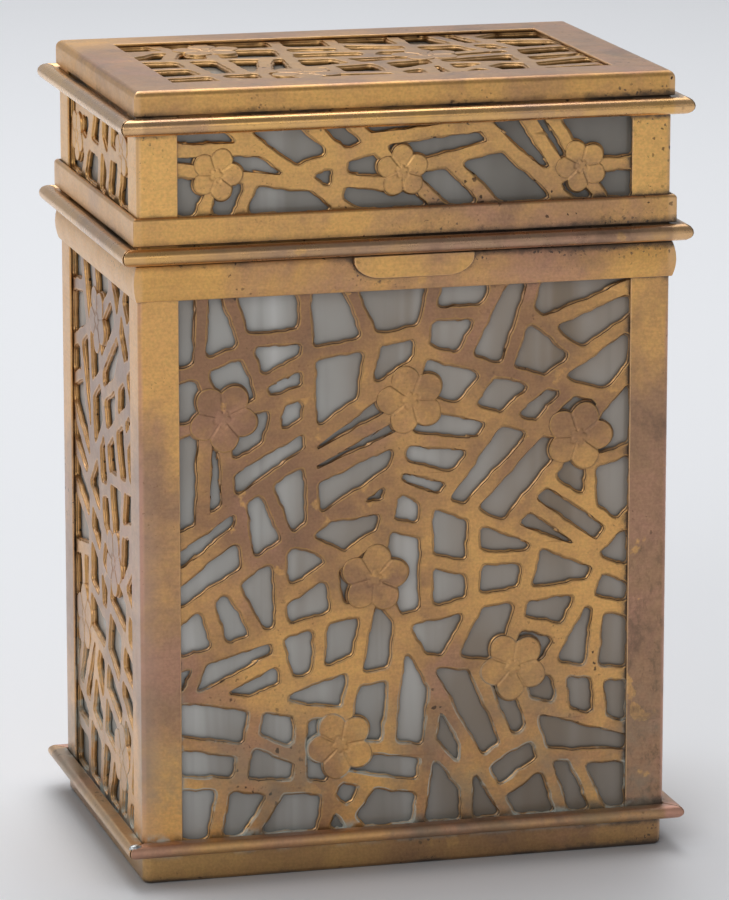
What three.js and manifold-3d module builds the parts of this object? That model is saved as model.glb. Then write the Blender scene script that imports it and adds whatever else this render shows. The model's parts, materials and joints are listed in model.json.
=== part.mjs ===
// Playing card case: gilt bronze fretwork over opal glass, with a hinged lid.
// Millimetres, Z up. The origin is under the middle of the base, the front faces -Y, the hinge is at +Y.
import * as THREE from "three";
import { mergeVertices } from "three/addons/utils/BufferGeometryUtils.js";
import Module from "manifold-3d";

// Outer sizes over the corner posts, and the heights from the foot upwards.
const BODY_WIDTH = 74;
const BODY_DEPTH = 49.5;
const BASE_HEIGHT = 4.2;
const BODY_HEIGHT = 81.05;
const LID_GAP = 0.3;
const LOWER_BEAD_HEIGHT = 2.3;
const BAND_HEIGHT = 3.8;
const LID_WINDOW_HEIGHT = 11.1;
const UPPER_BEAD_HEIGHT = 2.3;
const TOP_FRAME_HEIGHT = 3.4;

// Sheet thicknesses, from the outside in, and the joint between neighbouring layers.
const POST_THICKNESS = 0.4;
const FRET_THICKNESS = 0.8;
const GLASS_THICKNESS = 1.7;
const RETAINER_THICKNESS = 0.4;
const SEAM = 0.1;

// Strips, mouldings and edges.
const POST_LEG = 5.55;
const POST_CORNER = 0.6;
const BASE_CORNER = 1.2;
const BASE_INSET = 0.1;
const POCKET_DEPTH = 2.5;
const BEAD_REACH = 2.6;
const BASE_BEAD_REACH = 2.4;
const BASE_BEAD_HEIGHT = 1.75;
const BEAD_WEB = 0.7;
const MITRE_GAP = 0.1;
const BAND_THICKNESS = 0.6;
const BAND_EDGE = 0.5;
const RIM_SWELL = 0.45;
const RIM_HEIGHT = 4.8;
const LEDGE = 0.8;
const TOP_BORDER = 6.5;
const TOP_REACH = 0.35;
const TOP_EDGE = 1;
const RETAINER_BORDER = 4;

// Pierced pattern: a cracked-ice lattice with five-petalled blossoms on some of its crossings.
const BAR = 1.9;
const CELL_AREA = 72;
const SPLIT_MARGIN = 0.3;
const SPLIT_BALANCE = 0.5;
const SPLIT_CHANCE = 0.38;
const LATTICE_LAP = 1.2;
const SMALLEST_EDGE = 0.35;
const SMALLEST_HOLE = 1.5;
const BLOSSOM_RADIUS = 4.6;
const LID_BLOSSOM_RADIUS = 3.4;
const BLOSSOM_SPACING = 23;
const BLOSSOM_RELIEF = 0.1;
const TOP_SEED = 31;

// Thumb tab under the front lower bead, soldered a little to the right of the middle.
const TAB_WIDTH = 16.7;
const TAB_DROP = 3.1;
const TAB_CORNER_LENGTH = 3.8;
const TAB_CORNER_HEIGHT = 2.6;
const TAB_THICKNESS = 0.7;
const TAB_CLEARANCE = 0.2;
const TAB_SHIFT = 0.6;

// Hinge: a butt hinge of five knuckles on one pin, its axis on the outer face of the rim.
const BARREL_LENGTH = 46;
const BARREL_RADIUS = 0.9;
const BARREL_CLEARANCE = 0.2;
const KNUCKLES = 5;
const KNUCKLE_GAP = 0.25;
const PIN_RADIUS = 0.45;
const PIN_CLEARANCE = 0.05;
const LEAF_THICKNESS = 0.5;
const LEAF_DROP = 3.5;
const LEAF_MARGIN = 0.4;

// Sizes and levels that follow.
const halfWidth = BODY_WIDTH / 2;
const halfDepth = BODY_DEPTH / 2;
const fretFace = POST_THICKNESS + SEAM;
const glassFace = fretFace + FRET_THICKNESS + SEAM;
const retainerFace = glassFace + GLASS_THICKNESS + SEAM;
const wall = retainerFace + RETAINER_THICKNESS;
const bandOuter = SEAM + BAND_THICKNESS;
const bodyFoot = BASE_HEIGHT + SEAM;
const rimTop = BASE_HEIGHT + BODY_HEIGHT;
const bodyHead = rimTop - LEDGE - SEAM;
const lidFoot = rimTop + LID_GAP;
const lidWallFoot = lidFoot + LEDGE + SEAM;
const bandFoot = lidFoot + LOWER_BEAD_HEIGHT + SEAM;
const bandTop = bandFoot + BAND_HEIGHT;
const upperBeadFoot = bandTop + LID_WINDOW_HEIGHT;
const topFrameFoot = upperBeadFoot + UPPER_BEAD_HEIGHT + SEAM;
const top = topFrameFoot + TOP_FRAME_HEIGHT;
const topGlassFoot = top - glassFace - GLASS_THICKNESS;
const lidWallHead = topGlassFoot - SEAM;
const hingeY = halfDepth + bandOuter;
const hingeZ = (rimTop + lidFoot) / 2;
const hingeSpan = BARREL_LENGTH + 2 * BARREL_CLEARANCE;

const WALLS = [
  { side: "front", turn: 0, half: halfDepth, span: halfWidth, seed: 13, lidSeed: 23 },
  { side: "right", turn: Math.PI / 2, half: halfWidth, span: halfDepth, seed: 16, lidSeed: 22 },
  { side: "back", turn: Math.PI, half: halfDepth, span: halfWidth, seed: 15, lidSeed: 25 },
  { side: "left", turn: -Math.PI / 2, half: halfWidth, span: halfDepth, seed: 14, lidSeed: 26 },
];
const CORNERS = [
  { corner: "front_left", turn: 0, x: -halfWidth, y: -halfDepth },
  { corner: "front_right", turn: Math.PI / 2, x: halfWidth, y: -halfDepth },
  { corner: "back_right", turn: Math.PI, x: halfWidth, y: halfDepth },
  { corner: "back_left", turn: -Math.PI / 2, x: -halfWidth, y: halfDepth },
];

const gilt = new THREE.MeshStandardMaterial({ color: 0xb98a48, roughness: 0.38, metalness: 1 });
const wornGilt = new THREE.MeshStandardMaterial({ color: 0x8f6a4a, roughness: 0.45, metalness: 1 });
const opal = new THREE.MeshStandardMaterial({ color: 0xb9bab2, roughness: 0.25, metalness: 0 });

const wasm = await Module();
wasm.setup();

function solidOf(geometry) {
  const bare = geometry.clone();
  bare.deleteAttribute("normal");
  bare.deleteAttribute("uv");
  const merged = mergeVertices(bare, 1e-3);
  const vertProperties = new Float32Array(merged.attributes.position.array);
  const triVerts = new Uint32Array(merged.index.array);
  return new wasm.Manifold(new wasm.Mesh({ numProp: 3, vertProperties, triVerts }));
}

function geometryOf(solid) {
  const mesh = solid.getMesh();
  const geometry = new THREE.BufferGeometry();
  geometry.setAttribute("position", new THREE.BufferAttribute(mesh.vertProperties, 3));
  geometry.setIndex(new THREE.BufferAttribute(mesh.triVerts, 1));
  geometry.computeVertexNormals();
  return geometry;
}

function addMesh(parent, name, geometry, material) {
  const mesh = new THREE.Mesh(geometry, material);
  mesh.name = name;
  parent.add(mesh);
  return mesh;
}

// A group turned so that its own -Y faces out of the given wall or corner.
function turned(parent, turn, x = 0, y = 0) {
  const group = new THREE.Group();
  group.rotation.z = turn;
  group.position.set(x, y, 0);
  parent.add(group);
  return group;
}

function point(x, y) {
  return new THREE.Vector2(x, y);
}

function arc(x, y, radius, from, to, steps) {
  const points = [];
  for (let i = 0; i <= steps; i++) {
    const angle = from + ((to - from) * i) / steps;
    points.push(point(x + radius * Math.cos(angle), y + radius * Math.sin(angle)));
  }
  return points;
}

function rectangle(x0, y0, x1, y1) {
  return [point(x0, y0), point(x1, y0), point(x1, y1), point(x0, y1)];
}

function grown([low, , high], margin) {
  return rectangle(low.x - margin, low.y - margin, high.x + margin, high.y + margin);
}

function roundedRectangle(halfX, halfY, radius) {
  const x = halfX - radius;
  const y = halfY - radius;
  const quarter = Math.PI / 2;
  return [
    ...arc(x, -y, radius, -quarter, 0, 4),
    ...arc(x, y, radius, 0, quarter, 4),
    ...arc(-x, y, radius, quarter, 2 * quarter, 4),
    ...arc(-x, -y, radius, 2 * quarter, 3 * quarter, 4),
  ];
}

function prism(outline, foot, head, holes = []) {
  const shape = new THREE.Shape(outline);
  shape.holes = holes.map((hole) => new THREE.Path(hole));
  const geometry = new THREE.ExtrudeGeometry(shape, { depth: head - foot, bevelEnabled: false });
  geometry.translate(0, 0, foot);
  return geometry;
}

// A plate drawn in the wall's own X and Z, its outer face at the given depth behind the wall's face.
function standing(geometry, half, depth, thickness) {
  geometry.rotateX(Math.PI / 2);
  geometry.translate(0, depth + thickness - half, 0);
  return geometry;
}

function box(x0, y0, z0, x1, y1, z1) {
  return prism(rectangle(x0, y0, x1, y1), z0, z1);
}

function cylinderAlongX(radius, x0, x1, y, z) {
  const geometry = new THREE.CylinderGeometry(radius, radius, x1 - x0, 20);
  geometry.rotateZ(Math.PI / 2);
  geometry.translate((x0 + x1) / 2, y, z);
  return geometry;
}

// A closed frame: each point of the profile is (reach beyond the posts, height).
function closedFrame(profile, foot) {
  const positions = [];
  for (const { x, y } of CORNERS) {
    for (const edge of profile) {
      positions.push(x + Math.sign(x) * edge.x, y + Math.sign(y) * edge.x, foot + edge.y);
    }
  }
  const count = profile.length;
  const index = [];
  for (let corner = 0; corner < 4; corner++) {
    const here = corner * count;
    const there = ((corner + 1) % 4) * count;
    for (let i = 0; i < count; i++) {
      const next = (i + 1) % count;
      index.push(here + i, there + i, there + next, here + i, there + next, here + next);
    }
  }
  const geometry = new THREE.BufferGeometry();
  geometry.setAttribute("position", new THREE.Float32BufferAttribute(positions, 3));
  geometry.setIndex(index);
  return geometry.toNonIndexed();
}

// A moulding along one wall, mitred at both ends, from the same kind of profile.
function mitredBar(profile, wallHere, foot) {
  const shape = new THREE.Shape(profile);
  const geometry = new THREE.ExtrudeGeometry(shape, { depth: 1, bevelEnabled: false });
  const position = geometry.attributes.position;
  for (let i = 0; i < position.count; i++) {
    const reach = position.getX(i);
    const height = position.getY(i);
    const end = position.getZ(i) > 0.5 ? -1 : 1;
    position.setXYZ(i, end * (wallHere.span + reach - MITRE_GAP), -wallHere.half - reach, foot + height);
  }
  return geometry;
}

// A round bead on a narrower web that joins it to the wall.
function beadProfile(reach, height) {
  const radius = height / 2;
  const x = reach - radius;
  const web = radius * BEAD_WEB;
  const sweep = Math.PI - Math.asin(BEAD_WEB);
  const nose = arc(x, radius, radius, -sweep, sweep, 12);
  return [point(SEAM, radius - web), ...nose, point(SEAM, radius + web)];
}

// A flat strip with a rounded nose.
function nosedProfile(reach, height) {
  const radius = height / 2;
  const nose = arc(reach - radius, radius, radius, -Math.PI / 2, Math.PI / 2, 8);
  return [point(SEAM, 0), ...nose, point(SEAM, height)];
}

// The round bead with a flat foot, which runs inwards as a ledge under the lid's walls.
function ledgedBeadProfile(reach, height) {
  const radius = height / 2;
  const x = reach - radius;
  const sweep = Math.PI - Math.asin(BEAD_WEB);
  const nose = arc(x, radius, radius, -Math.PI / 2, sweep, 10);
  const inner = [point(SEAM, radius * (1 + BEAD_WEB)), point(SEAM, LEDGE), point(-wall, LEDGE)];
  return [point(-wall, 0), ...nose, ...inner];
}

function randomFrom(seed) {
  let state = seed;
  return () => {
    state = (Math.imul(state, 1664525) + 1013904223) >>> 0;
    return state / 4294967296;
  };
}

function areaOf(polygon) {
  return Math.abs(THREE.ShapeUtils.area(polygon));
}

// 1 for a circle, less for a longer or thinner shape.
function roundnessOf(polygon) {
  let round = 0;
  polygon.forEach((here, i) => {
    round += here.distanceTo(polygon[(i + 1) % polygon.length]);
  });
  return (4 * Math.PI * areaOf(polygon)) / (round * round);
}

// One straight bar across a convex cell, from one edge to another.
function splitAt(polygon, first, second, firstPart, secondPart) {
  const count = polygon.length;
  const from = polygon[first].clone().lerp(polygon[(first + 1) % count], firstPart);
  const to = polygon[second].clone().lerp(polygon[(second + 1) % count], secondPart);
  const near = [from];
  for (let i = first + 1; i <= second; i++) {
    near.push(polygon[i]);
  }
  near.push(to);
  const far = [to];
  for (let i = second + 1; i <= first + count; i++) {
    far.push(polygon[i % count]);
  }
  far.push(from);
  return { near, far, from, to };
}

function bestSplit(polygon, random) {
  let best = null;
  let bestScore = -1;
  for (let first = 0; first < polygon.length; first++) {
    for (let second = first + 1; second < polygon.length; second++) {
      const part = () => SPLIT_MARGIN + (1 - 2 * SPLIT_MARGIN) * random();
      const split = splitAt(polygon, first, second, part(), part());
      const balance = Math.min(areaOf(split.near), areaOf(split.far)) / areaOf(polygon);
      const roundness = Math.min(roundnessOf(split.near), roundnessOf(split.far));
      const score = roundness + SPLIT_BALANCE * balance + SPLIT_CHANCE * random();
      if (score > bestScore) {
        best = split;
        bestScore = score;
      }
    }
  }
  return best;
}

// Cracks a cell again and again until the pieces reach the cell size.
function crack(polygon, random, cells, crossings) {
  if (areaOf(polygon) < CELL_AREA * (0.8 + 0.6 * random())) {
    cells.push(polygon);
    return;
  }
  const split = bestSplit(polygon, random);
  crossings.push(split.from, split.to);
  crack(split.near, random, cells, crossings);
  crack(split.far, random, cells, crossings);
}

// The part of a convex polygon that lies at least the margin inside the edge from a to b.
function keepInside(polygon, a, b, margin) {
  const along = b.clone().sub(a).normalize();
  const depthOf = (p) => along.x * (p.y - a.y) - along.y * (p.x - a.x) - margin;
  const kept = [];
  polygon.forEach((here, i) => {
    const next = polygon[(i + 1) % polygon.length];
    const depth = depthOf(here);
    const nextDepth = depthOf(next);
    if (depth >= 0) {
      kept.push(here);
    }
    if (depth >= 0 !== nextDepth >= 0) {
      kept.push(here.clone().lerp(next, depth / (depth - nextDepth)));
    }
  });
  return kept;
}

// The hole in a cell: its outline moved inwards by half a bar.
function holeOf(cell) {
  let hole = cell;
  cell.forEach((here, i) => {
    hole = keepInside(hole, here, cell[(i + 1) % cell.length], BAR / 2);
  });
  return hole.filter((here, i) => here.distanceTo(hole[(i + 1) % hole.length]) > SMALLEST_EDGE);
}

function blossomPlaces(crossings, window, radius) {
  const places = [];
  const [low, , high] = window;
  for (const spot of crossings) {
    const edge = Math.min(spot.x - low.x, high.x - spot.x, spot.y - low.y, high.y - spot.y);
    const clear = places.every((place) => place.distanceTo(spot) > BLOSSOM_SPACING);
    if (clear && edge > radius) {
      places.push(spot);
    }
  }
  return places;
}

function blossomOutline(place, radius, turn) {
  const outline = [];
  const steps = 20;
  for (let i = 0; i < steps; i++) {
    const angle = (2 * Math.PI * i) / steps;
    const reach = radius * (0.7 + 0.3 * Math.abs(Math.cos(2.5 * angle)));
    outline.push(point(place.x + reach * Math.cos(angle + turn), place.y + reach * Math.sin(angle + turn)));
  }
  return outline;
}

// A pierced plate lying flat, outer face up: the holes fill the window and run on under its edges.
function pierced(outline, window, radius, seed) {
  const random = randomFrom(seed);
  const cells = [];
  const crossings = [];
  crack(grown(window, LATTICE_LAP), random, cells, crossings);
  const holes = cells.map(holeOf).filter((hole) => hole.length > 2 && areaOf(hole) > SMALLEST_HOLE);
  const cutters = holes.map((hole) => solidOf(prism(hole, -SEAM, FRET_THICKNESS + SEAM)));
  let plate = solidOf(prism(outline, 0, FRET_THICKNESS)).subtract(wasm.Manifold.union(cutters));
  for (const place of blossomPlaces(crossings, window, radius)) {
    const blossom = blossomOutline(place, radius, 2 * Math.PI * random());
    plate = plate.add(solidOf(prism(blossom, FRET_THICKNESS / 2, FRET_THICKNESS + BLOSSOM_RELIEF)));
  }
  return geometryOf(plate);
}

function post(foot, head) {
  const outline = [
    ...arc(POST_CORNER, POST_CORNER, POST_CORNER, Math.PI, 1.5 * Math.PI, 3),
    point(POST_LEG, 0),
    point(POST_LEG, POST_THICKNESS),
    point(POST_THICKNESS, POST_THICKNESS),
    point(POST_THICKNESS, POST_LEG),
    point(0, POST_LEG),
  ];
  return prism(outline, foot, head);
}

// Fretwork, glass and retaining frame of one wall. The front and back layers run through at the corners.
function addWallLayers(parent, prefix, wallHere, layers, seed) {
  const { side, turn, half, span } = wallHere;
  const runsThrough = turn % Math.PI === 0;
  const { foot, head, windowFoot, windowHead, radius } = layers;
  const group = turned(parent, turn);
  const plateHalf = span - (runsThrough ? fretFace : retainerFace);
  const retainerHalf = span - (runsThrough ? retainerFace : wall + SEAM);
  const windowHalf = span - POST_LEG;

  const plate = rectangle(-plateHalf, foot, plateHalf, head);
  const window = rectangle(-windowHalf, windowFoot, windowHalf, windowHead);
  const fret = standing(pierced(plate, window, radius, seed), half, fretFace, FRET_THICKNESS);
  addMesh(group, `${prefix}fretwork_${side}`, fret, gilt);

  const glass = standing(prism(plate, 0, GLASS_THICKNESS), half, glassFace, GLASS_THICKNESS);
  addMesh(group, `${prefix}glass_${side}`, glass, opal);

  const frame = rectangle(-retainerHalf, foot, retainerHalf, head);
  const sight = retainerHalf - RETAINER_BORDER;
  const opening = rectangle(-sight, foot + RETAINER_BORDER, sight, head - RETAINER_BORDER);
  const retainer = prism(frame, 0, RETAINER_THICKNESS, [opening]);
  standing(retainer, half, retainerFace, RETAINER_THICKNESS);
  addMesh(group, `${prefix}glass_retainer_${side}`, retainer, gilt);
}

function addBaseTray(parent) {
  const outline = roundedRectangle(halfWidth - BASE_INSET, halfDepth - BASE_INSET, BASE_CORNER);
  const pocket = rectangle(wall - halfWidth, wall - halfDepth, halfWidth - wall, halfDepth - wall);
  const slab = solidOf(prism(outline, 0, BASE_HEIGHT));
  const hollow = solidOf(prism(pocket, BASE_HEIGHT - POCKET_DEPTH, BASE_HEIGHT + SEAM));
  addMesh(parent, "base_tray", geometryOf(slab.subtract(hollow)), wornGilt);
}

function addPosts(parent, prefix, foot, head) {
  for (const { corner, turn, x, y } of CORNERS) {
    addMesh(turned(parent, turn, x, y), `${prefix}corner_post_${corner}`, post(foot, head), gilt);
  }
}

function addBeads(parent, name, profile, foot) {
  for (const wallHere of WALLS) {
    const bar = mitredBar(profile, wallHere, foot);
    addMesh(turned(parent, wallHere.turn), `${name}_${wallHere.side}`, bar, wornGilt);
  }
}

// Room for the hinge barrel, cut along the back of the rim and of the lid.
function barrelGroove() {
  const radius = BARREL_RADIUS + BARREL_CLEARANCE;
  return solidOf(cylinderAlongX(radius, -hingeSpan / 2, hingeSpan / 2, hingeY, hingeZ));
}

// The outer face of the rim from its foot to its head, swelling gently between them.
function swellingFace() {
  const points = [];
  const steps = 8;
  for (let i = 0; i <= steps; i++) {
    const across = Math.cos((Math.PI * i) / steps);
    points.push(point(bandOuter - RIM_SWELL * across * across, (-RIM_HEIGHT * (1 + across)) / 2));
  }
  return points;
}

function addRimBand(parent) {
  const profile = [
    point(SEAM, -RIM_HEIGHT),
    ...swellingFace(),
    point(-wall, 0),
    point(-wall, -LEDGE),
    point(SEAM, -LEDGE),
  ];
  const rim = solidOf(closedFrame(profile, rimTop)).subtract(barrelGroove());
  addMesh(parent, "rim_band", geometryOf(rim), gilt);
}

function addLidBand(parent) {
  const profile = [
    point(SEAM, 0),
    point(bandOuter, 0),
    ...arc(bandOuter - BAND_EDGE, BAND_HEIGHT - BAND_EDGE, BAND_EDGE, 0, Math.PI / 2, 3),
    point(SEAM, BAND_HEIGHT),
  ];
  addMesh(parent, "lid_band", closedFrame(profile, bandFoot), gilt);
}

// The beads around the foot of the lid. The back one is cut away where the hinge sits.
function addLowerBeads(parent) {
  const profile = ledgedBeadProfile(BEAD_REACH, LOWER_BEAD_HEIGHT);
  for (const wallHere of WALLS) {
    let bar = mitredBar(profile, wallHere, lidFoot);
    bar.rotateZ(wallHere.turn);
    if (wallHere.side === "back") {
      const outer = halfDepth + 2 * BEAD_REACH;
      const seat = box(-hingeSpan / 2, hingeY, lidFoot - SEAM, hingeSpan / 2, outer, bandFoot);
      bar = geometryOf(solidOf(bar).subtract(solidOf(seat)).subtract(barrelGroove()));
    }
    addMesh(parent, `lid_lower_bead_${wallHere.side}`, bar, wornGilt);
  }
}

function addTopFrame(parent) {
  const profile = [
    point(-POST_THICKNESS, 0),
    point(TOP_REACH, 0),
    ...arc(TOP_REACH - TOP_EDGE, TOP_FRAME_HEIGHT - TOP_EDGE, TOP_EDGE, 0, Math.PI / 2, 4),
    point(-TOP_BORDER, TOP_FRAME_HEIGHT),
    point(-TOP_BORDER, TOP_FRAME_HEIGHT - POST_THICKNESS),
    point(-POST_THICKNESS, TOP_FRAME_HEIGHT - POST_THICKNESS),
  ];
  addMesh(parent, "lid_top_frame", closedFrame(profile, topFrameFoot), gilt);
}

// Fretwork, glass and retaining frame of the lid's top, stacked downwards under the frame's border.
function addTopLayers(parent) {
  const x = halfWidth - fretFace;
  const y = halfDepth - fretFace;
  const plate = rectangle(-x, -y, x, y);
  const windowX = halfWidth - TOP_BORDER;
  const windowY = halfDepth - TOP_BORDER;
  const window = rectangle(-windowX, -windowY, windowX, windowY);
  const fret = pierced(plate, window, BLOSSOM_RADIUS, TOP_SEED);
  addMesh(parent, "lid_top_fretwork", fret, gilt).position.z = top - fretFace - FRET_THICKNESS;

  addMesh(parent, "lid_top_glass", prism(plate, topGlassFoot, topGlassFoot + GLASS_THICKNESS), opal);

  const frameX = halfWidth - wall - SEAM;
  const frameY = halfDepth - wall - SEAM;
  const frame = rectangle(-frameX, -frameY, frameX, frameY);
  const sightX = frameX - RETAINER_BORDER;
  const sightY = frameY - RETAINER_BORDER;
  const opening = rectangle(-sightX, -sightY, sightX, sightY);
  const retainer = prism(frame, lidWallHead - RETAINER_THICKNESS, lidWallHead, [opening]);
  addMesh(parent, "lid_top_retainer", retainer, gilt);
}

function addThumbTab(parent) {
  const half = TAB_WIDTH / 2;
  const corner = (side, start) =>
    arc(0, 0, 1, start, start + Math.PI / 2, 8).map((spot) =>
      point(
        side * (half - TAB_CORNER_LENGTH) + TAB_CORNER_LENGTH * spot.x,
        TAB_CORNER_HEIGHT * (1 + spot.y) - TAB_DROP,
      ),
    );
  const outline = [point(half, 0), point(-half, 0), ...corner(-1, Math.PI), ...corner(1, -Math.PI / 2)];
  const face = bandOuter + TAB_CLEARANCE + TAB_THICKNESS;
  const tab = standing(prism(outline, 0, TAB_THICKNESS), halfDepth, -face, TAB_THICKNESS);
  addMesh(parent, "thumb_tab", tab, wornGilt).position.set(TAB_SHIFT, 0, lidFoot - SEAM);
}

// One half of the hinge: a leaf, and every second knuckle joined to it by a short strap.
function hingeLeaf(firstKnuckle, direction, far) {
  const near = hingeZ + direction * (BARREL_RADIUS + BARREL_CLEARANCE);
  const inner = hingeY + SEAM;
  const outer = inner + LEAF_THICKNESS;
  const half = BARREL_LENGTH / 2;
  let leaf = solidOf(box(-half, inner, Math.min(near, far), half, outer, Math.max(near, far)));
  const pitch = (BARREL_LENGTH + KNUCKLE_GAP) / KNUCKLES;
  for (let i = firstKnuckle; i < KNUCKLES; i += 2) {
    const x0 = i * pitch - half;
    const x1 = x0 + pitch - KNUCKLE_GAP;
    const reach = near + direction * LEAF_MARGIN;
    const strap = box(x0, inner, Math.min(hingeZ, reach), x1, outer, Math.max(hingeZ, reach));
    leaf = leaf.add(solidOf(strap)).add(solidOf(cylinderAlongX(BARREL_RADIUS, x0, x1, hingeY, hingeZ)));
  }
  const bore = cylinderAlongX(PIN_RADIUS + PIN_CLEARANCE, -BARREL_LENGTH, BARREL_LENGTH, hingeY, hingeZ);
  return geometryOf(leaf.subtract(solidOf(bore)));
}

function makeBody() {
  const body = new THREE.Group();
  body.name = "case_body";
  addBaseTray(body);
  addBeads(body, "base_bead", nosedProfile(BASE_BEAD_REACH, BASE_BEAD_HEIGHT), BASE_HEIGHT);
  addPosts(body, "", bodyFoot, bodyHead);
  addRimBand(body);
  const windowFoot = BASE_HEIGHT + BASE_BEAD_HEIGHT;
  const windowHead = rimTop - RIM_HEIGHT;
  const levels = { foot: bodyFoot, head: bodyHead, windowFoot, windowHead };
  for (const wallHere of WALLS) {
    addWallLayers(body, "", wallHere, { ...levels, radius: BLOSSOM_RADIUS }, wallHere.seed);
  }
  addMesh(body, "hinge_leaf_body", hingeLeaf(0, -1, rimTop - LEAF_DROP), wornGilt);
  const pin = cylinderAlongX(PIN_RADIUS, -BARREL_LENGTH / 2, BARREL_LENGTH / 2, hingeY, hingeZ);
  addMesh(body, "hinge_pin", pin, wornGilt);
  return body;
}

function makeLid() {
  const lid = new THREE.Group();
  lid.name = "lid";
  addLowerBeads(lid);
  addLidBand(lid);
  addThumbTab(lid);
  addPosts(lid, "lid_", lidWallFoot, topFrameFoot - SEAM);
  const levels = { foot: lidWallFoot, head: lidWallHead, windowFoot: bandTop, windowHead: upperBeadFoot };
  for (const wallHere of WALLS) {
    addWallLayers(lid, "lid_", wallHere, { ...levels, radius: LID_BLOSSOM_RADIUS }, wallHere.lidSeed);
  }
  addBeads(lid, "lid_upper_bead", beadProfile(BEAD_REACH, UPPER_BEAD_HEIGHT), upperBeadFoot);
  addTopFrame(lid);
  addTopLayers(lid);
  addMesh(lid, "hinge_leaf_lid", hingeLeaf(1, 1, bandTop - LEAF_MARGIN), wornGilt);
  return lid;
}

const cardCase = new THREE.Group();
cardCase.name = "playing_card_case";
cardCase.add(makeBody(), makeLid());
export default cardCase;
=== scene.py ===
"""A playing card case of worn gilt bronze fretwork over opal glass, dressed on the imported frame."""
import json
import math
from types import SimpleNamespace

import bmesh
import bpy
from mathutils import Matrix, Vector


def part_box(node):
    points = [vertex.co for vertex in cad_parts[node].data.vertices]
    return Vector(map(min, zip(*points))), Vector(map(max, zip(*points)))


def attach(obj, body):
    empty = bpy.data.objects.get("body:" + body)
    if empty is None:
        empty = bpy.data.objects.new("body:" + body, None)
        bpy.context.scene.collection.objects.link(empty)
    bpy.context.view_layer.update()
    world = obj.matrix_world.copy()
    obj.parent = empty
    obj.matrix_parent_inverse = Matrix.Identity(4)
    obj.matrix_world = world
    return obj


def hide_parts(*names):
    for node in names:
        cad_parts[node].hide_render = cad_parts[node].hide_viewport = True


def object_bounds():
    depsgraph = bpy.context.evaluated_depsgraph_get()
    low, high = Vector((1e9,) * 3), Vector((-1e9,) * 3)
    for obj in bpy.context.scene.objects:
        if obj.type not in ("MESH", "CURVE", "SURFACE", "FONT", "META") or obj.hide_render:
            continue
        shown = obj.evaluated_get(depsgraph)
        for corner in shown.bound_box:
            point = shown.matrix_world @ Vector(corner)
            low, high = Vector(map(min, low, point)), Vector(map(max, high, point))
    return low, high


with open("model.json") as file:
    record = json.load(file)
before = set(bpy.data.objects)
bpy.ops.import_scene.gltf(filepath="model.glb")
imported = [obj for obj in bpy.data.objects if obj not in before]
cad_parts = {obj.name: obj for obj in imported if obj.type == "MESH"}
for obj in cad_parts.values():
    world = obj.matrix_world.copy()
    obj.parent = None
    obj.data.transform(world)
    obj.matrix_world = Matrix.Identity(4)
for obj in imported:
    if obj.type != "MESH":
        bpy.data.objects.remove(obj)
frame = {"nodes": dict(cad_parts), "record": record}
cad_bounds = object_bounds()

MM = 0.001
FULL_TURN = 2 * math.pi

# Camera, as fitted to the photograph: degrees, and millimetres in the case's frame.
VIEW_AZIMUTH = -15.03
VIEW_ELEVATION = 12.59
VIEW_DISTANCE = 745.9
VIEW_TARGET = (0.7, 0.0, 52.95)
VIEW_LENS = 213.7
VIEW_CLIP_START = 50

# Random numbers, drawn as the solids draw them. The etcher's hand has seeds of its own.
RANDOM_FACTOR = 1664525
RANDOM_STEP = 1013904223
RANDOM_RANGE = 2**32
HAND_SEED = 100

# Pierced pattern, the same as in the solids: millimetres. A cell is cracked again while it is larger
# than the cell size times a random share.
BAR = 1.9
CELL_AREA = 72
CELL_SHARE = 0.8
CELL_SHARE_SPREAD = 0.6
SPLIT_MARGIN = 0.3
SPLIT_BALANCE = 0.5
SPLIT_CHANCE = 0.38
LATTICE_LAP = 1.2
SMALLEST_EDGE = 0.35
SMALLEST_HOLE = 1.5
FRET_THICKNESS = 0.8
TOP_BORDER = 6.5
BLOSSOM_RADIUS = 4.6
LID_BLOSSOM_RADIUS = 3.4
BLOSSOM_SPACING = 23
BLOSSOM_RELIEF = 0.1
TOP_SEED = 31
TOP_HOLE_GRIME_AND_SHADE = 0.25
SIZE_DECIMALS = 2

# Each wall's turn in degrees, the axis it runs along, its patterns and how much grime and painted shade its
# holes get.
WALLS = {
    "front": {"turn": 0, "along": 0, "seed": 13, "lid_seed": 23, "hole_grime_and_shade": 1.0},
    "right": {"turn": 90, "along": 1, "seed": 16, "lid_seed": 22, "hole_grime_and_shade": 0.5},
    "back": {"turn": 180, "along": 0, "seed": 15, "lid_seed": 25, "hole_grime_and_shade": 0.5},
    "left": {"turn": -90, "along": 1, "seed": 14, "lid_seed": 26, "hole_grime_and_shade": 0.2},
}

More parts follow.
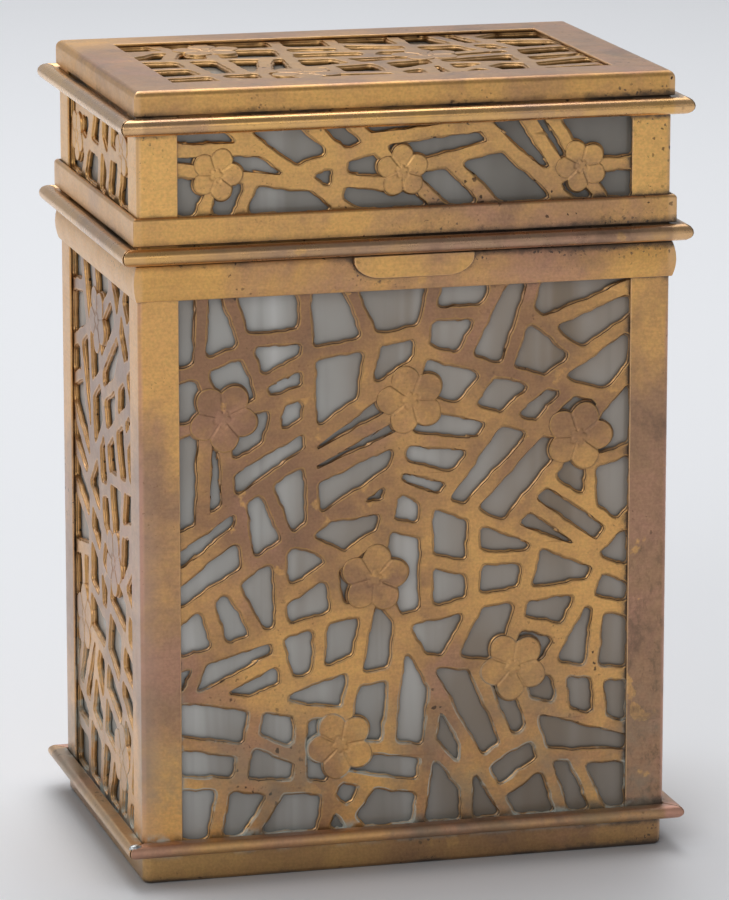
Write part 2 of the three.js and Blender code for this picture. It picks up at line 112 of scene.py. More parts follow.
# How the holes were etched: rounded corners, a wavering edge, and walls with a thin lip halfway down.
# Each step of a wall gives how far it stands into the hole, its depth, and how rubbed it is (wear with a
# painted glint) and how dark it is (tarnish with painted shade).
BAR_SPREAD = 0.2
HOLE_CORNER = 0.8
CORNER_SHARE = 0.42
CORNER_STEPS = 6
HOLE_STEP = 0.5
FEWEST_POINTS = 16
SHORTEST_STEP = 1e-9
LEAST_TO_MIDDLE = 0.4
MOST_INWARDS_SHARE = 0.9
MOST_OUTWARDS = 0.42
WAVER = ((3, 0.08), (5, 0.06), (9, 0.05), (14, 0.04))
HOLE_WALL = (
    {"inset": -0.32, "depth": 0.0},
    {"inset": -0.15, "depth": 0.0, "recess": 0.45},
    {"inset": -0.1, "depth": 0.05, "edge": 0.6},
    {"inset": -0.05, "depth": 0.24, "recess": 1.0},
    {"inset": 0.1, "depth": 0.3, "edge": 0.5},
    {"inset": 0.15, "depth": 0.42, "edge": 0.3, "recess": 0.25},
    {"inset": 0.1, "depth": 0.64, "recess": 0.35},
    {"inset": 0.0, "depth": FRET_THICKNESS, "recess": 1.0},
)
PLATE_EDGE = ({"depth": 0}, {"depth": FRET_THICKNESS})
RAISED_LOOPS = 3

# How a blossom is shaped and engraved: shares of its radius, and millimetres for the grooves.
PETALS = 5
PETAL_WAIST = 0.7
PETAL_SWELL = 0.3
BLOSSOM_RINGS = 22
BLOSSOM_SPOKES = 160
BLOSSOM_CORE = 0.04
BUTTON_SHARE = 0.27
GROOVE_DEPTH = 0.09
GROOVE_WIDTH = 0.22

# Softened edges of the metal strips, in millimetres, and the angles that count as flat, sharp or smooth.
STRIP_EDGE = 0.16
STRIP_SEGMENTS = 2
ROUNDED_EDGES = {"base_tray": {"radius": 0.6, "end": 0}, "lid_band": {"radius": 0.6, "end": 1}}
ROUNDED_SEGMENTS = 4
OUTSIDE_REACH = 2
WELD = 0.002
FLAT_ANGLE = math.radians(1)
SHARP_ANGLE = math.radians(35)
SMOOTH_ANGLE = math.radians(50)

# The drop of solder on a mitre: its radius, how far in from the corner and how low it sits, and its lumps.
SOLDER_SIZE = 0.75
SOLDER_INSET = 1.0
SOLDER_SINK = 0.25
SOLDER_DETAIL = 4
SOLDER_SHAPE = (1.25, 0.9, 0.7)
SOLDER_LUMP = 0.18
SOLDER_WAVES = (2600, 3100, 2300)
SOLDER_PHASE = 1

# Layers of the materials. A noise gives how fine it is (per metre, or along each axis), its detail,
# roughness and distortion. A step gives where a smooth rise starts and ends, and its values there if
# they aren't 0 and 1; across, deep and high it is in millimetres. Spots give spacing and size. "air" is
# the reach of a shelter test in millimetres. Single numbers are shares.
AIR_SAMPLES = 6
SPOT = SimpleNamespace(shake_scale=1600, shake_detail=2, shake_reach=0.8, edge=(0.02, -0.06))
FIELD = SimpleNamespace(
    mottle=(380, 5, 0.65), speckle=(1100, 4, 0.65), grain=(2600, 2, 0.5), patchy=(75, 4, 0.6),
    close_air=1.4, wide_air=2.6, sheltered=(0.95, 0.6), any_recess=(0.0, 0.02), opposite=(0.0, 1.0, 1.0, 0.0),
    dust_below_top=(1.7, 1.1), dust=(1.0, 0.22), neglect=(8, 37, 0.0, 0.16), neglect_high=(76, 88, 0.2, 1.0),
)
WEAR = SimpleNamespace(high=(5, 95), upward=(0.5, 0.95), grip_above=(10, 34), grip_below=(74, 50))
GILDING = SimpleNamespace(
    patches=(38, 5, 0.6, 0.5), mottle=0.1, wear=0.5, worn=(0.62, 0.94),
    blush=(60, 4, 0.6, 0.4), blushed=(0.5, 0.66, 0.0, 0.5), copper=(0.5, 0.25, 0.165, 1),
    remnants=(230, 4, 0.55), remaining=(0.65, 0.7), remnant_share=0.7,
    clouds=(95, 6, 0.7, 0.4), clouded=(0.48, 0.7), least_clouded=0.25, cloudy=(-34, 6, 0.25, 0.6),
    cloud_colour=(0.2, 0.115, 0.07, 1), hole_walls=0.7,
)
TONE = SimpleNamespace(
    brush=((240, 240, 2600), 3, 0.6), brushed=(0.3, 0.7, 0.4, 0.48), speckled=(0.28, 0.72, 0.3, 0.34),
    grained=(0.3, 0.7, 0.16, 0.32), hue=(0.25, 0.75, 0.496, 0.502),
)
USE = SimpleNamespace(
    scuffs=((800, 800, 420), 6, 0.75, 0.1), scuffed=(0.48, 0.7), scuffed_across=(10, 37),
    scuffed_high=(66, 22), scuff_colour=(0.14, 0.085, 0.045, 1),
    above_floor=(0.8, 1.6), rubbed_and_glinting=(0.3, 0.55, 0.1, 0.65), rubbed_glint_colour=(0.82, 0.5, 0.24, 1),
    held_across=(-33.4, -36.9), held_deep=(21.2, 24.6), held_patches=(0.3, 0.6, 0.4, 1.0),
    held_high=(72, 24), held_colour=(0.47, 0.31, 0.24, 1),
    arris_across=(36.2, 36.9), arris_deep=(23.95, 24.65), arris_patches=(0.35, 0.6, 0.2, 0.8),
    hole_tarnish_and_shade=(0.3, 0.6, 0.5, 0.95), hole_tarnish_and_shade_colour=(0.06, 0.034, 0.017, 1),
)
PIT = SimpleNamespace(
    clusters=(70, 3, 0.5), sheltered=0.2, clustered=(0.58, 0.72), spots=(1.1, 0.3), share=0.95,
    colour=(0.05, 0.02, 0.005, 1), specks=(0.6, 0.26), specked=(0.45, 0.65, 0.0, 0.55),
    speck_colour=(0.17, 0.08, 0.025, 1),
)
CRUST = SimpleNamespace(
    crumbs=(0.6, 0.38), crumb_air=(0.94, 0.72), crumb_patches=(0.5, 0.64), crumbly=(0.24, 0.54),
    grime_across=(22, 31), grime_high=(46, 14, 0.0, 0.3), mottle=-0.4, speckle=-0.45, grime=-0.7,
    edging=(0.42, 0.18), edging_patches=(0.42, 0.6, 0.25, 1.0), share=0.92, colour=(0.028, 0.014, 0.006, 1),
)
BLOOM = SimpleNamespace(
    verdigris=(200, 5, 0.65), green=(0.62, 0.72), green_share=0.45, green_colour=(0.15, 0.19, 0.13, 1),
    chalk=(260, 4, 0.6), chalky=(0.45, 0.57), chalk_recess=1.6, chalk_below=(36, 9, 0, 0.85),
    chalk_above=(2.5, 4.5), chalk_colour=(0.5, 0.54, 0.49, 1),
    haze=(85, 5, 0.65), hazy=(0.42, 0.66), haze_below=(36, 6), haze_above=(3, 5),
    haze_colour=(0.24, 0.21, 0.15, 1),
)
SURFACE = SimpleNamespace(
    recess_soil=0.4, haze_soil=0.5, rough=(0.25, 0.8), rough_spread=0.14, soil_rough=0.25,
    soil_metal=(0.0, 1.0, 1.0, 0.1), grain=0.25, speckle=0.35, mottle=0.4, pits=-0.7, crust=0.6,
    bump_height=0.05, coat_rough=0.35,
)
# In the opal glass, the pale colour on the left panes is a painted sheen, and the dim colour low down and the
# shade colour beside the bars are painted shade.
OPAL = SimpleNamespace(
    streaks=((85, 85, 8), 3, 0.5, 0.6), threads=((420, 420, 12), 3, 0.5, 0.3), clouds=(45, 3, 0.5),
    amber_across=(-30, 32, 0.0, 0.85), amber_clouds=(0.35, 0.65, -0.15, 0.3),
    milky=(0.42, 0.66), milk_across=(-14, 20, 1.0, 0.3), milk_colour=(0.6, 0.59, 0.56, 1),
    sheen_across=(-30.5, -32.5, 0.0, 0.4), painted_sheen_colour=(0.62, 0.61, 0.58, 1),
    threaded=(0.5, 0.75, 0.0, 0.2), thread_colour=(0.19, 0.165, 0.13, 1),
    shade_below=(34, 6, 0.0, 0.4), low_shade_colour=(0.12, 0.112, 0.1, 1),
    air=1.2, shaded=(0.85, 0.5, 0.0, 0.3), shade_colour=(0.12, 0.13, 0.13, 1),
    waves=((120, 120, 30), 3, 0.5), bumps=0.12, bump_height=0.4,
    rough=(0.3, 0.7, 0.18, 0.26), refraction=1.52,
)
GLASSES = {
    "opal_glass": {"cool": (0.385, 0.37, 0.34, 1), "warm": (0.245, 0.18, 0.12, 1), "streaky": 0.9},
    "lid_opal_glass": {"cool": (0.29, 0.27, 0.235, 1), "warm": (0.135, 0.117, 0.093, 1), "streaky": 0.35},
}
SOLDER_LOOK = SimpleNamespace(
    tone=(2200, 3, 0.6), bright=(0.35, 0.65), dull_colour=(0.34, 0.35, 0.35, 1),
    bright_colour=(0.72, 0.74, 0.74, 1), rough=(0.3, 0.7, 0.25, 0.45),
)

# The metals: gold and what it wears to, wear at the foot and the head of the case, and what differs from
# the plain metal. Side wear gives two places across and the wear there.
PINK = (0.64, 0.34, 0.25, 1)
PLAIN_METAL = {
    "side_wear": (-37, 37, -0.1, 0.14), "top_wear": 0.15, "grip": 0.0, "stain": 0.0,
    "arris": USE.rubbed_glint_colour, "grit": 1.0, "crusty": 1.0, "haze_depth": 0.55, "shine": 0.34,
    "bumps": 0.3, "lacquer": 0.75,
}
METALS = {
    "post_bronze": {
        "gold": (0.735, 0.4, 0.122, 1), "worn": (0.38, 0.212, 0.113, 1),
        "foot_wear": 0.42, "head_wear": -0.05, "side_wear": (-37, 37, -0.22, 0.5), "grip": 0.68,
        "haze_depth": 0.6, "arris": PINK, "stain": 0.75,
    },
    "lid_post_bronze": {
        "gold": (0.84, 0.475, 0.14, 1), "worn": (0.42, 0.225, 0.125, 1), "foot_wear": 0.0, "head_wear": 0.0,
    },
    "strip_bronze": {
        "gold": (0.75, 0.415, 0.12, 1), "worn": (0.45, 0.245, 0.12, 1), "foot_wear": 0.35, "head_wear": 0.3,
    },
    "rim_bronze": {
        "gold": (0.7, 0.38, 0.102, 1), "worn": (0.45, 0.24, 0.132, 1), "foot_wear": 0.4, "head_wear": 0.4,
        "side_wear": (-31, -22, -0.5, 0.1),
    },
    "fretwork_bronze": {
        "gold": (0.71, 0.385, 0.115, 1), "worn": (0.31, 0.16, 0.08, 1), "foot_wear": 0.35, "head_wear": 0.7,
        "side_wear": (-37, 37, 0.12, -0.12),
    },
    "lid_fretwork_bronze": {
        "gold": (0.75, 0.42, 0.125, 1), "worn": (0.42, 0.23, 0.11, 1), "foot_wear": 0.3, "head_wear": 0.3,
    },
    "top_bronze": {
        "gold": (0.73, 0.405, 0.12, 1), "worn": (0.42, 0.23, 0.115, 1), "foot_wear": 0.25, "head_wear": 0.25,
        "lacquer": 0.5, "top_wear": 0.34,
    },
    "top_fretwork_bronze": {
        "gold": (0.58, 0.33, 0.11, 1), "worn": (0.38, 0.21, 0.1, 1), "foot_wear": 0.3, "head_wear": 0.3,
        "lacquer": 0.5,
    },
    "upper_bead_bronze": {
        "gold": (0.84, 0.48, 0.15, 1), "worn": (0.46, 0.275, 0.165, 1), "foot_wear": 0.3, "head_wear": 0.3,
        "shine": 0.2, "bumps": 0.012, "grit": 0.3,
    },
    "lower_bead_bronze": {
        "gold": (0.72, 0.405, 0.13, 1), "worn": (0.42, 0.255, 0.15, 1), "foot_wear": 0.5, "head_wear": 0.5,
        "side_wear": (-37, -15, -0.3, 0.15), "shine": 0.24, "bumps": 0.015, "grit": 0.4,
    },
    "base_bead_bronze": {
        "gold": (0.68, 0.39, 0.14, 1), "worn": (0.52, 0.285, 0.175, 1), "foot_wear": 0.35, "head_wear": 0.35,
        "side_wear": (-39, -27, 0.8, 0.0), "shine": 0.5, "bumps": 0.06, "arris": PINK,
        "grit": 0.6, "crusty": 0.35,
    },
    "base_side_bronze": {
        "gold": (0.5, 0.3, 0.12, 1), "worn": (0.34, 0.205, 0.11, 1), "foot_wear": 0.4, "head_wear": 0.4,
        "bumps": 0.08,
    },
    "base_bronze": {
        "gold": (0.5, 0.29, 0.097, 1), "worn": (0.335, 0.183, 0.077, 1), "foot_wear": 0.45, "head_wear": 0.45,
    },
}

# Which metal a piece has: the first word found in its node's name decides.
METAL_OF = (
    ("lid_fretwork", "lid_fretwork_bronze"),
    ("lid_top_fretwork", "top_fretwork_bronze"),
    ("fretwork", "fretwork_bronze"),
    ("upper_bead", "upper_bead_bronze"),
    ("lower_bead", "lower_bead_bronze"),
    ("base_bead_left", "base_side_bronze"),
    ("base_bead", "base_bead_bronze"),
    ("hinge", "lower_bead_bronze"),
    ("lid_corner_post", "lid_post_bronze"),
    ("corner_post", "post_bronze"),
    ("rim_band", "rim_bronze"),
    ("lid_top_frame", "top_bronze"),
    ("base_tray", "base_bronze"),
)
OTHER_METAL = "strip_bronze"

# The floor and the studio: metres, watts and colours.
# The floor's far colour paints it a little brighter behind the case, and its shade colour is painted shade
# beside the case.
FLOOR = SimpleNamespace(
    size=4, cells=8, fade=(-0.1, 0.9), near_colour=(0.91, 0.92, 0.945, 1), far_colour=(0.93, 0.94, 0.965, 1),
    air=9, air_samples=8, shaded=(1.0, 0.4, 0.0, 0.45), shade_colour=(0.1, 0.1, 0.1, 1), rough=0.6,
)
SKY_FADE = (-0.6, 0.7)
SKY_FRONT = (0.235, 0.24, 0.25, 1)
SKY_BACK = (0.43, 0.44, 0.455, 1)
LAMP_AIM = (0, 0, 0.05)
LAMPS = {
    "overhead": {"place": (0.0, 0.45, 1.0), "width": 0.7, "height": 1.0, "power": 6.4},
    "front_left": {"place": (-0.7, -0.9, 0.75), "width": 0.6, "height": 0.6, "power": 3.1},
    "front": {"place": (-0.1, -1.2, 0.35), "width": 0.9, "height": 0.5, "power": 1.5},
    "back_left": {"place": (-1.0, 0.7, 0.4), "width": 0.6, "height": 0.5, "power": 1.1},
}


# The pierced pattern.


def random_from(seed):
    state = seed
    while True:
        state = (state * RANDOM_FACTOR + RANDOM_STEP) % RANDOM_RANGE
        yield state / RANDOM_RANGE


def edges_of(polygon):
    return list(zip(polygon, polygon[1:] + polygon[:1]))


def area_of(polygon):
    return abs(sum(a.x * b.y - b.x * a.y for a, b in edges_of(polygon))) / 2


def length_of(polygon):
    return sum((b - a).length for a, b in edges_of(polygon))


def roundness_of(polygon):
    """1 for a circle, less for a longer or thinner shape."""
    return 4 * math.pi * area_of(polygon) / length_of(polygon) ** 2


def split_at(polygon, first, second, first_part, second_part):
    """One straight bar across a convex cell: (near cell, far cell, bar's start, bar's end)."""
    count = len(polygon)
    start = polygon[first].lerp(polygon[(first + 1) % count], first_part)
    end = polygon[second].lerp(polygon[(second + 1) % count], second_part)
    near = [start] + polygon[first + 1 : second + 1] + [end]
    far = [end] + [polygon[i % count] for i in range(second + 1, first + count + 1)] + [start]
    return near, far, start, end


def best_split(polygon, random):
    best, best_score = None, -1
    for first in range(len(polygon)):
        for second in range(first + 1, len(polygon)):
            parts = [SPLIT_MARGIN + (1 - 2 * SPLIT_MARGIN) * next(random) for _ in range(2)]
            split = split_at(polygon, first, second, *parts)
            balance = min(area_of(split[0]), area_of(split[1])) / area_of(polygon)
            roundness = min(roundness_of(split[0]), roundness_of(split[1]))
            score = roundness + SPLIT_BALANCE * balance + SPLIT_CHANCE * next(random)
            if score > best_score:
                best, best_score = split, score
    return best


def crack(polygon, random, cells, crossings):
    """Cracks a cell again and again until the pieces reach the cell size."""
    if area_of(polygon) < CELL_AREA * (CELL_SHARE + CELL_SHARE_SPREAD * next(random)):
        cells.append(polygon)
        return
    near, far, start, end = best_split(polygon, random)
    crossings += [start, end]
    crack(near, random, cells, crossings)
    crack(far, random, cells, crossings)


def keep_inside(polygon, a, b, margin):
    """The part of a convex polygon that lies at least the margin inside the edge from a to b."""
    along = (b - a).normalized()
    depths = [along.x * (p.y - a.y) - along.y * (p.x - a.x) - margin for p in polygon]
    kept = []
    for i, here in enumerate(polygon):
        following = (i + 1) % len(polygon)
        if depths[i] >= 0:
            kept.append(here)
        if (depths[i] >= 0) != (depths[following] >= 0):
            kept.append(here.lerp(polygon[following], depths[i] / (depths[i] - depths[following])))
    return kept


def hole_of(cell, inset):
    """The hole in a cell: its outline moved inwards."""
    hole = cell
    for a, b in edges_of(cell):
        hole = keep_inside(hole, a, b, inset)
    return [a for a, b in edges_of(hole) if (b - a).length > SMALLEST_EDGE]


def softened(polygon):
    """The polygon with each corner rounded, less where its edges are short."""
    outline = []
    for before, here, after in zip(polygon[-1:] + polygon[:-1], polygon, polygon[1:] + polygon[:1]):
        back, on = before - here, after - here
        half = back.angle(on) / 2
        reach = min(HOLE_CORNER / math.tan(half), CORNER_SHARE * back.length, CORNER_SHARE * on.length)
        start = here + back.normalized() * reach
        end = here + on.normalized() * reach
        for i in range(CORNER_STEPS + 1):
            t = i / CORNER_STEPS
            outline.append(start * (1 - t) ** 2 + here * 2 * t * (1 - t) + end * t**2)
    return outline


def evenly(polygon):
    """Points at even steps along a closed outline."""
    around = length_of(polygon)
    count = max(FEWEST_POINTS, round(around / HOLE_STEP))
    points, walked = [], 0.0
    for a, b in edges_of(polygon):
        step = (b - a).length
        while len(points) < count and len(points) * around / count <= walked + step:
            part = (len(points) * around / count - walked) / max(step, SHORTEST_STEP)
            points.append(a.lerp(b, part))
        walked += step
    return points


def hole_loops(hole, hand):
    """The outlines of an etched hole at each step of its wall, all drawn towards its middle."""
    points = evenly(softened(hole))
    middle = sum(points, Vector((0, 0))) / len(points)
    waves = [(count, size, FULL_TURN * next(hand)) for count, size in WAVER]
    loops = [[] for _ in HOLE_WALL]
    for i, here in enumerate(points):
        along = (points[(i + 1) % len(points)] - points[i - 1]).normalized()
        to_middle = along.x * (middle.y - here.y) - along.y * (middle.x - here.x)
        depth = max(LEAST_TO_MIDDLE, to_middle)
        turn = FULL_TURN * i / len(points)
        waver = sum(size * math.sin(count * turn + phase) for count, size, phase in waves)
        for loop, step in zip(loops, HOLE_WALL):
            share = min(MOST_INWARDS_SHARE, (step["inset"] + waver) / depth)
            inwards = max((middle - here).length * share, -MOST_OUTWARDS)
            loop.append(here + (middle - here).normalized() * inwards)
    return loops


def blossom_places(crossings, low, high, radius):
    places = []
    for spot in crossings:
        edge = min(spot.x - low.x, high.x - spot.x, spot.y - low.y, high.y - spot.y)
        if edge > radius and all((place - spot).length > BLOSSOM_SPACING for place in places):
            places.append(spot)
    return places


def rectangle(low, high):
    return [Vector(corner) for corner in ((low.x, low.y), (high.x, low.y), (high.x, high.y), (low.x, high.y))]


# Meshes of the pierced plates.


def add_flat_face(made, outlines, depth):
    """The flat metal between an outline and its holes, at a depth below the plate's face."""
    curve = bpy.data.curves.new("plate_outline", "CURVE")
    curve.dimensions = "2D"
    curve.fill_mode = "BOTH"
    for outline in outlines:
        spline = curve.splines.new("POLY")
        spline.points.add(len(outline) - 1)
        for spot, place in zip(spline.points, outline):
            spot.co = (place.x * MM, place.y * MM, 0, 1)
        spline.use_cyclic_u = True
    holder = bpy.data.objects.new("plate_outline", curve)
    bpy.context.collection.objects.link(holder)
    evaluated = holder.evaluated_get(bpy.context.evaluated_depsgraph_get())
    filled = evaluated.to_mesh()
    verts = [made.verts.new((vert.co.x, vert.co.y, -depth * MM)) for vert in filled.vertices]
    for polygon in filled.polygons:
        made.faces.new([verts[i] for i in polygon.vertices]).smooth = False
    evaluated.to_mesh_clear()
    bpy.data.objects.remove(holder)


def add_wall(made, loops, steps, hole_grime_and_shade=0.0, rises=None):
    """The wall round an outline, from loop to loop, with marks on its rubbed bands (wear and a painted glint)
    and its dark bands (tarnish and painted shade).

    With rises, each point of the first loops stands higher by its own."""
    edge = made.faces.layers.float["edge"]
    recess = made.faces.layers.float["recess"]
    rings = []
    for i, (loop, step) in enumerate(zip(loops, steps)):
        lifts = rises if rises and i < RAISED_LOOPS else [0.0] * len(loop)
        heights = [lift - step["depth"] for lift in lifts]
        rings.append([made.verts.new((p.x * MM, p.y * MM, z * MM)) for p, z in zip(loop, heights)])
    for upper, lower, step in zip(rings, rings[1:], steps[1:]):
        for i in range(len(upper)):
            face = made.faces.new((upper[i - 1], upper[i], lower[i], lower[i - 1]))
            face.smooth = True
            face[edge] = step.get("edge", 0)
            face[recess] = hole_grime_and_shade * step.get("recess", 0)


def petal_reach(angle):
    return PETAL_WAIST + PETAL_SWELL * abs(math.cos(PETALS / 2 * angle))


def groove(distance):
    """How deep an engraved line is at a distance from its middle."""
    return GROOVE_DEPTH * max(0.0, 1 - (distance / GROOVE_WIDTH) ** 2)


def blossom_height(radius, angle, out):
    """How high a blossom stands at an angle and a share of the way out, with its engraved lines."""
    from_notch = abs(math.asin(math.cos(PETALS / 2 * angle))) / (PETALS / 2)
    between = groove(from_notch * (radius * petal_reach(angle) * out)) if out > BUTTON_SHARE else 0
    around = groove((out - BUTTON_SHARE) * radius * petal_reach(angle))
    return BLOSSOM_RELIEF - max(between, around)


def spot_at(place, angle, reach):
    return Vector((place.x + reach * math.cos(angle), place.y + reach * math.sin(angle)))


def add_blossom(made, place, radius, turn, hole_grime_and_shade):
    """A flat rosette with engraved lines, standing a little proud of the plate's face."""
    angles = [FULL_TURN * spoke / BLOSSOM_SPOKES for spoke in range(BLOSSOM_SPOKES)]
    loops = []
    for ring in range(BLOSSOM_RINGS + 1):
        out = max(ring / BLOSSOM_RINGS, BLOSSOM_CORE)
        heights = [blossom_height(radius, angle, out) for angle in angles]
        points = [spot_at(place, angle + turn, radius * petal_reach(angle) * out) for angle in angles]
        loops.append([made.verts.new(Vector((*p, z)) * MM) for p, z in zip(points, heights)])
    made.faces.new(loops[0])
    for inner, outer in zip(loops, loops[1:]):
        for i in range(BLOSSOM_SPOKES):
            made.faces.new((inner[i - 1], outer[i - 1], outer[i], inner[i])).smooth = True
    skirts = []
    for step in HOLE_WALL:
        reaches = [radius * petal_reach(angle) + step["inset"] - HOLE_WALL[0]["inset"] for angle in angles]
        skirts.append([spot_at(place, angle + turn, reach) for angle, reach in zip(angles, reaches)])
    add_wall(made, skirts, HOLE_WALL, hole_grime_and_shade, heights)
    add_flat_face(made, [skirts[-1]], FRET_THICKNESS)


def marked_bmesh():
    """An empty mesh whose faces can be marked as rubbed edges with a painted glint, and as dark recesses with
    tarnish and painted shade.
    """
    made = bmesh.new()
    for name in ("edge", "recess"):
        made.faces.layers.float.new(name)
    return made


def weld(made):
    bmesh.ops.remove_doubles(made, verts=made.verts, dist=WELD * MM)


def fretwork_mesh(low, high, window_low, window_high, radius, seed, hole_grime_and_shade):
    """The pierced plate in its own plane, outer face up at Z 0."""
    random = random_from(seed)
    lap = Vector((LATTICE_LAP, LATTICE_LAP))
    cells, crossings = [], []
    crack(rectangle(window_low - lap, window_high + lap), random, cells, crossings)
    hand = random_from(seed + HAND_SEED)
    holes = []
    for cell in cells:
        hole = hole_of(cell, (BAR + BAR_SPREAD * (2 * next(hand) - 1)) / 2)
        if len(hole) > 2 and area_of(hole) > SMALLEST_HOLE:
            holes.append(hole_loops(hole, hand))
    made = marked_bmesh()
    border = rectangle(low, high)
    add_flat_face(made, [border] + [loops[0] for loops in holes], 0)
    add_flat_face(made, [border] + [loops[-1] for loops in holes], FRET_THICKNESS)
    add_wall(made, [border, border], PLATE_EDGE)
    for loops in holes:
        add_wall(made, loops, HOLE_WALL, hole_grime_and_shade)
    for place in blossom_places(crossings, window_low, window_high, radius):
        add_blossom(made, place, radius, FULL_TURN * next(random), hole_grime_and_shade)
    weld(made)
    bmesh.ops.recalc_face_normals(made, faces=made.faces)
    return made


# Pieces.


def body_of(node):
    bodies = frame["record"]["behaviour"]["bodies"]
    return next(name for name, nodes in bodies.items() if node in nodes)


def slot_of(node):
    return next(part["material_slot"] for part in frame["record"]["subparts"] if part["node"] == node)


def corners(node):
    """A node's lowest and highest corners in millimetres, rounded to the solids' own sizes."""
    return [Vector([round(value / MM, SIZE_DECIMALS) for value in corner]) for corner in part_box(node)]


def new_object(name, made, material):
    """An object with a finished bmesh as its mesh."""
    mesh = bpy.data.meshes.new(name)
    made.to_mesh(mesh)
    made.free()
    mesh.materials.append(material)
    holder = bpy.data.objects.new(name, mesh)
    bpy.context.collection.objects.link(holder)
    return holder


def new_piece(made, node):
    """A dressed piece from a bmesh in the case's frame, standing for the given CAD node."""
    metal = next((metal for word, metal in METAL_OF if word in node), OTHER_METAL)
    piece = new_object(f"{node}_dressed", made, MATERIALS[metal])
    piece.data.set_sharp_from_angle(angle=SMOOTH_ANGLE)
    flats = piece.modifiers.new("flat_faces", "WEIGHTED_NORMAL")
    flats.keep_sharp = True
    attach(piece, body_of(node))
    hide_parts(node)


# Shader helpers.

MATERIALS = {}


def shader(name):
    """The empty node tree of a new material, which is kept under its name here.

    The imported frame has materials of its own, some with the same names."""
    material = bpy.data.materials.new(name)
    material.use_nodes = True
    material.node_tree.nodes.clear()
    MATERIALS[name] = material
    return material.node_tree


def add_node(tree, kind, settings=None, inputs=None):
    made = tree.nodes.new(kind)
    for key, value in (settings or {}).items():
        setattr(made, key, value)
    for key, value in (inputs or {}).items():
        if isinstance(value, bpy.types.NodeSocket):
            tree.links.new(value, made.inputs[key])
        else:
            made.inputs[key].default_value = value
    return made


def place_of(tree):
    """Where a point is in the case's frame."""
    return add_node(tree, "ShaderNodeTexCoord").outputs["Object"]


def parts_of(tree, place):
    """How far across, deep and high a place is."""
    parts = add_node(tree, "ShaderNodeSeparateXYZ", inputs={0: place})
    return [parts.outputs[axis] for axis in "XYZ"]


def noise(tree, place, scale, detail, roughness, distortion=0.0):
    """A noise of one scale, or of three for stretched shapes."""
    if isinstance(scale, tuple):
        values = {"Vector": place, "Scale": scale}
        place, scale = add_node(tree, "ShaderNodeMapping", inputs=values).outputs["Vector"], 1
    values = {
        "Vector": place, "Scale": scale, "Detail": detail, "Roughness": roughness, "Distortion": distortion,
    }
    return add_node(tree, "ShaderNodeTexNoise", inputs=values).outputs["Fac"]


def ramp(tree, value, low, high, to_low=0.0, to_high=1.0):
    settings = {"interpolation_type": "SMOOTHSTEP"}
    values = {"Value": value, "From Min": low, "From Max": high, "To Min": to_low, "To Max": to_high}
    return add_node(tree, "ShaderNodeMapRange", settings, values).outputs["Result"]


def ramp_mm(tree, value, low, high, *ends):
    return ramp(tree, value, low * MM, high * MM, *ends)


def combined(tree, operation, *values):
    """The values added, multiplied or subtracted one after another."""
    total = values[0]
    for value in values[1:]:
        total = add_node(tree, "ShaderNodeMath", {"operation": operation}, {0: total, 1: value}).outputs[0]
    return total


def size_of(tree, value):
    return add_node(tree, "ShaderNodeMath", {"operation": "ABSOLUTE"}, {0: value}).outputs[0]


def product(tree, *values):
    return combined(tree, "MULTIPLY", *values)


def sum_of(tree, *values):
    return combined(tree, "ADD", *values)


def mix_colour(tree, amount, a, b):
    """A mix of two colours. The colour sockets share their names with hidden ones, so they go by number."""
    made = add_node(tree, "ShaderNodeMix", {"data_type": "RGBA"}, {0: amount, 6: a, 7: b})
    return made.outputs[2]


def mark(tree, name):
    return add_node(tree, "ShaderNodeAttribute", {"attribute_name": name}).outputs["Fac"]


def open_air(tree, reach, samples=AIR_SAMPLES):
    """1 in the open, less where something stands within the reach."""
    values = {"Distance": reach * MM}
    return add_node(tree, "ShaderNodeAmbientOcclusion", {"samples": samples}, values).outputs["AO"]


def spots(tree, place, spacing, size):
    """Irregular specks of different sizes, about the given spacing apart in millimetres."""
    values = {"Vector": place, "Scale": SPOT.shake_scale, "Detail": SPOT.shake_detail}
    shake = add_node(tree, "ShaderNodeTexNoise", inputs=values).outputs["Color"]
    values = {0: shake, 1: (SPOT.shake_reach * MM,) * 3, 2: place}
    shaken = add_node(tree, "ShaderNodeVectorMath", {"operation": "MULTIPLY_ADD"}, values).outputs[0]
    values = {"Vector": shaken, "Scale": 1 / (spacing * MM)}
    made = add_node(tree, "ShaderNodeTexVoronoi", inputs=values)
    values = {"Color": made.outputs["Color"]}
    chance = add_node(tree, "ShaderNodeSeparateColor", inputs=values).outputs["Red"]
    edge = combined(tree, "SUBTRACT", made.outputs["Distance"], product(tree, chance, size))
    return ramp(tree, edge, *SPOT.edge)


def bump(tree, strength, height, relief):
    values = {"Strength": strength, "Distance": height * MM, "Height": relief}
    return add_node(tree, "ShaderNodeBump", inputs=values).outputs["Normal"]


def add_surface(tree, inputs):
    surface = add_node(tree, "ShaderNodeBsdfPrincipled", inputs=inputs)
    add_node(tree, "ShaderNodeOutputMaterial", inputs={"Surface": surface.outputs["BSDF"]})


# The metals, layer by layer.


